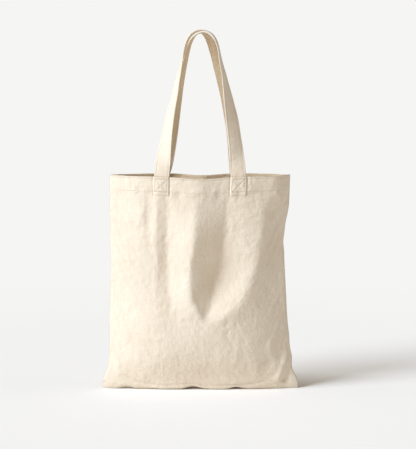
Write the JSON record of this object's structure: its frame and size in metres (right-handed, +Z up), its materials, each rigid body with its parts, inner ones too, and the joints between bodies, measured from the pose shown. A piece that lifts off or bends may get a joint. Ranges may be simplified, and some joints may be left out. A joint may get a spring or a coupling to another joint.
{
  "type": "canvas tote bag",
  "caption": "Flat-seamed canvas shopping bag standing open, with a hemmed mouth and long arched handles that swing down over its faces.",
  "frame": {"origin": "on the floor below the middle of the bag", "axes": "+X to the right along the front panel, +Y from the front panel to the back panel, +Z up"},
  "size_m": [0.376, 0.1188, 0.703],
  "materials": {
    "body_canvas": "unbleached cotton canvas, plain weave",
    "handle_canvas": "the same canvas folded into a strap and pressed",
    "sewing_thread": "natural cotton thread"
  },
  "bodies": {
    "bag": {"front_panel": "body_canvas", "back_panel": "body_canvas", "front_hem_facing": "body_canvas", "back_hem_facing": "body_canvas", "left_seam_allowance": "body_canvas", "right_seam_allowance": "body_canvas", "bottom_seam_allowance": "body_canvas", "front_handle_left_end": "handle_canvas", "front_handle_right_end": "handle_canvas", "back_handle_left_end": "handle_canvas", "back_handle_right_end": "handle_canvas", "front_hem_stitching": "sewing_thread", "back_hem_stitching": "sewing_thread", "front_left_box_stitching": "sewing_thread", "front_right_box_stitching": "sewing_thread", "back_left_box_stitching": "sewing_thread", "back_right_box_stitching": "sewing_thread", "left_overlock_thread": "sewing_thread", "right_overlock_thread": "sewing_thread", "bottom_overlock_thread": "sewing_thread"},
    "front_handle": {"front_handle": "handle_canvas", "front_handle_stitching": "sewing_thread"},
    "back_handle": {"back_handle": "handle_canvas", "back_handle_stitching": "sewing_thread"}
  },
  "joints": [
    {"name": "front_handle_swing", "type": "hinge", "parent": "bag", "child": "front_handle", "pos_m": [0, -0.049, 0.4205], "axis": [1, 0, 0], "range_deg": [0, 175]},
    {"name": "back_handle_swing", "type": "hinge", "parent": "bag", "child": "back_handle", "pos_m": [0, 0.049, 0.4205], "axis": [-1, 0, 0], "range_deg": [0, 175]}
  ]
}
